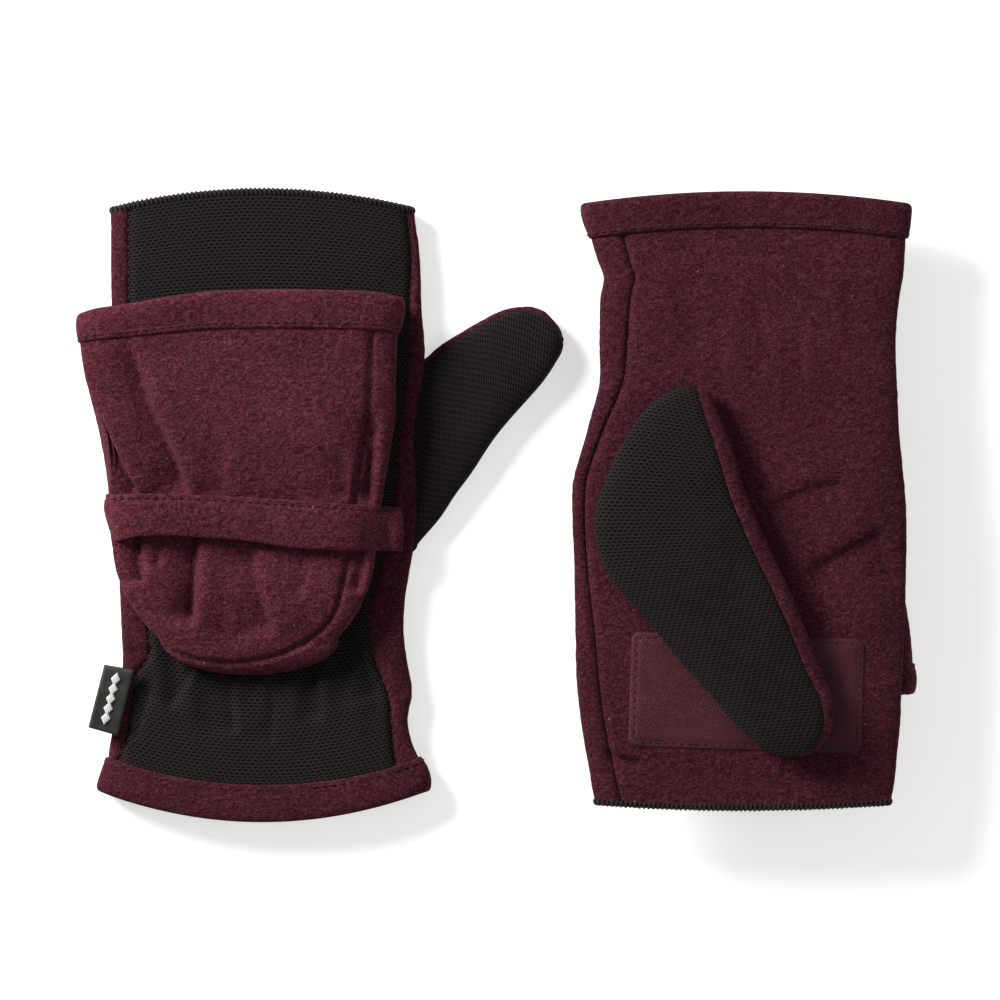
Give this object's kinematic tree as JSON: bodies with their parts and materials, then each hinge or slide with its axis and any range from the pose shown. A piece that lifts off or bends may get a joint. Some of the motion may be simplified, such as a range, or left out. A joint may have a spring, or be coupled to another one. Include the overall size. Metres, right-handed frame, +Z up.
{
  "type": "pair of convertible flip-top mittens",
  "caption": "Pair of fleece and stretch-knit mittens with open finger ends, fold-back caps under a strap, hinged thumbs and leather palm patches.",
  "frame": {"origin": "Bottom centre of the box round the pair, on the table.", "axes": "+X from the left mitten to the right one, the longest way; +Y towards the left mitten's fingers and the right mitten's cuff; +Z up from the table."},
  "size_m": [0.2576, 0.195, 0.0349],
  "materials": {
    "fleece": "soft pebbled microfleece, matt with a faint nap sheen",
    "knit": "stretch knit with small staggered cells, matt",
    "lining": "thin brushed lining, matt",
    "elastic": "flat woven elastic, matt",
    "overlock": "overlock stitching, matt",
    "leather": "fine-grained, satin",
    "thread": "twisted sewing thread, low sheen",
    "label": "blank damask-woven label, slight sheen"
  },
  "bodies": {
    "left_hand": {"left_palm_panel": "fleece", "left_side_gusset": "fleece", "left_back_panel": "knit", "left_back_lining": "lining", "left_wrist_elastic": "elastic", "left_cuff_hem": "fleece", "left_cuff_thread": "thread", "left_finger_overlock": "overlock", "left_back_seam_thread": "thread", "left_palm_patch": "leather", "left_patch_thread": "thread", "left_strap": "fleece", "left_strap_thread": "thread", "left_thumb_root": "knit"},
    "left_cap_base": {"left_cap_tape": "knit"},
    "left_cap": {"left_cap_back": "knit", "left_cap_gusset": "fleece", "left_cap_front": "fleece", "left_cap_hem": "fleece", "left_cap_hem_thread": "thread", "left_cap_seam_thread": "thread"},
    "left_thumb": {"left_thumb_back": "knit", "left_thumb_front": "fleece"},
    "right_hand": {"right_palm_panel": "fleece", "right_side_gusset": "fleece", "right_back_panel": "knit", "right_back_lining": "lining", "right_wrist_elastic": "elastic", "right_cuff_hem": "fleece", "right_cuff_thread": "thread", "right_finger_overlock": "overlock", "right_back_seam_thread": "thread", "right_palm_patch": "leather", "right_patch_thread": "thread", "right_strap": "fleece", "right_strap_thread": "thread", "right_thumb_root": "knit"},
    "right_cap_base": {"right_cap_tape": "knit"},
    "right_cap": {"right_cap_back": "knit", "right_cap_gusset": "fleece", "right_cap_front": "fleece", "right_cap_hem": "fleece", "right_cap_hem_thread": "thread", "right_cap_seam_thread": "thread"},
    "right_thumb": {"right_thumb_back": "knit", "right_thumb_front": "fleece"},
    "left_tag": {"left_label": "label"}
  },
  "joints": [
    {"name": "right_mitten_lift", "type": "slide", "parent": "left_hand", "child": "right_hand", "axis": [0, 0, 1], "range_m": [0, 0.06]},
    {"name": "left_cap_flip", "type": "hinge", "parent": "left_cap_base", "child": "left_cap", "pos_m": [-0.07773, 0.0565, 0.0107], "axis": [-1, 0, 0], "range_deg": [0, 180], "deforming": ["left_cap_front", "left_cap_hem", "left_cap_hem_thread", "left_cap_seam_thread", "left_strap", "left_strap_thread"]},
    {"name": "left_cap_shift", "type": "slide", "parent": "left_hand", "child": "left_cap_base", "axis": [1, 0, 0], "range_m": [0, 0.00705]},
    {"name": "left_thumb_fold", "type": "hinge", "parent": "left_hand", "child": "left_thumb", "pos_m": [-0.04873, 0.0155, -0.0002], "axis": [0.2079, 0.9781, 0], "range_deg": [0, 180]},
    {"name": "left_tag_lift", "type": "hinge", "parent": "left_hand", "child": "left_tag", "pos_m": [-0.11073, -0.052, 0.0101], "axis": [0.2419, 0.9703, 0], "range_deg": [0, 90]},
    {"name": "right_cap_flip", "type": "hinge", "parent": "right_cap_base", "child": "right_cap", "pos_m": [0.07773, -0.0565, 0.0155], "axis": [-1, 0, 0], "range_deg": [0, 180], "deforming": ["right_cap_front", "right_cap_hem", "right_cap_hem_thread", "right_cap_seam_thread", "right_strap", "right_strap_thread"]},
    {"name": "right_cap_shift", "type": "slide", "parent": "right_hand", "child": "right_cap_base", "axis": [-1, 0, 0], "range_m": [0, 0.00125]},
    {"name": "right_thumb_unfold", "type": "hinge", "parent": "right_hand", "child": "right_thumb", "pos_m": [0.05453, -0.0155, 0.0264], "axis": [-0.2079, -0.9781, 0], "range_deg": [0, 180]}
  ],
  "couplings": [
    {"joint": "left_cap_shift", "follows": "left_cap_flip", "m_per_rad": 0.0022282},
    {"joint": "right_cap_shift", "follows": "right_cap_flip", "m_per_rad": 0.00038197}
  ]
}
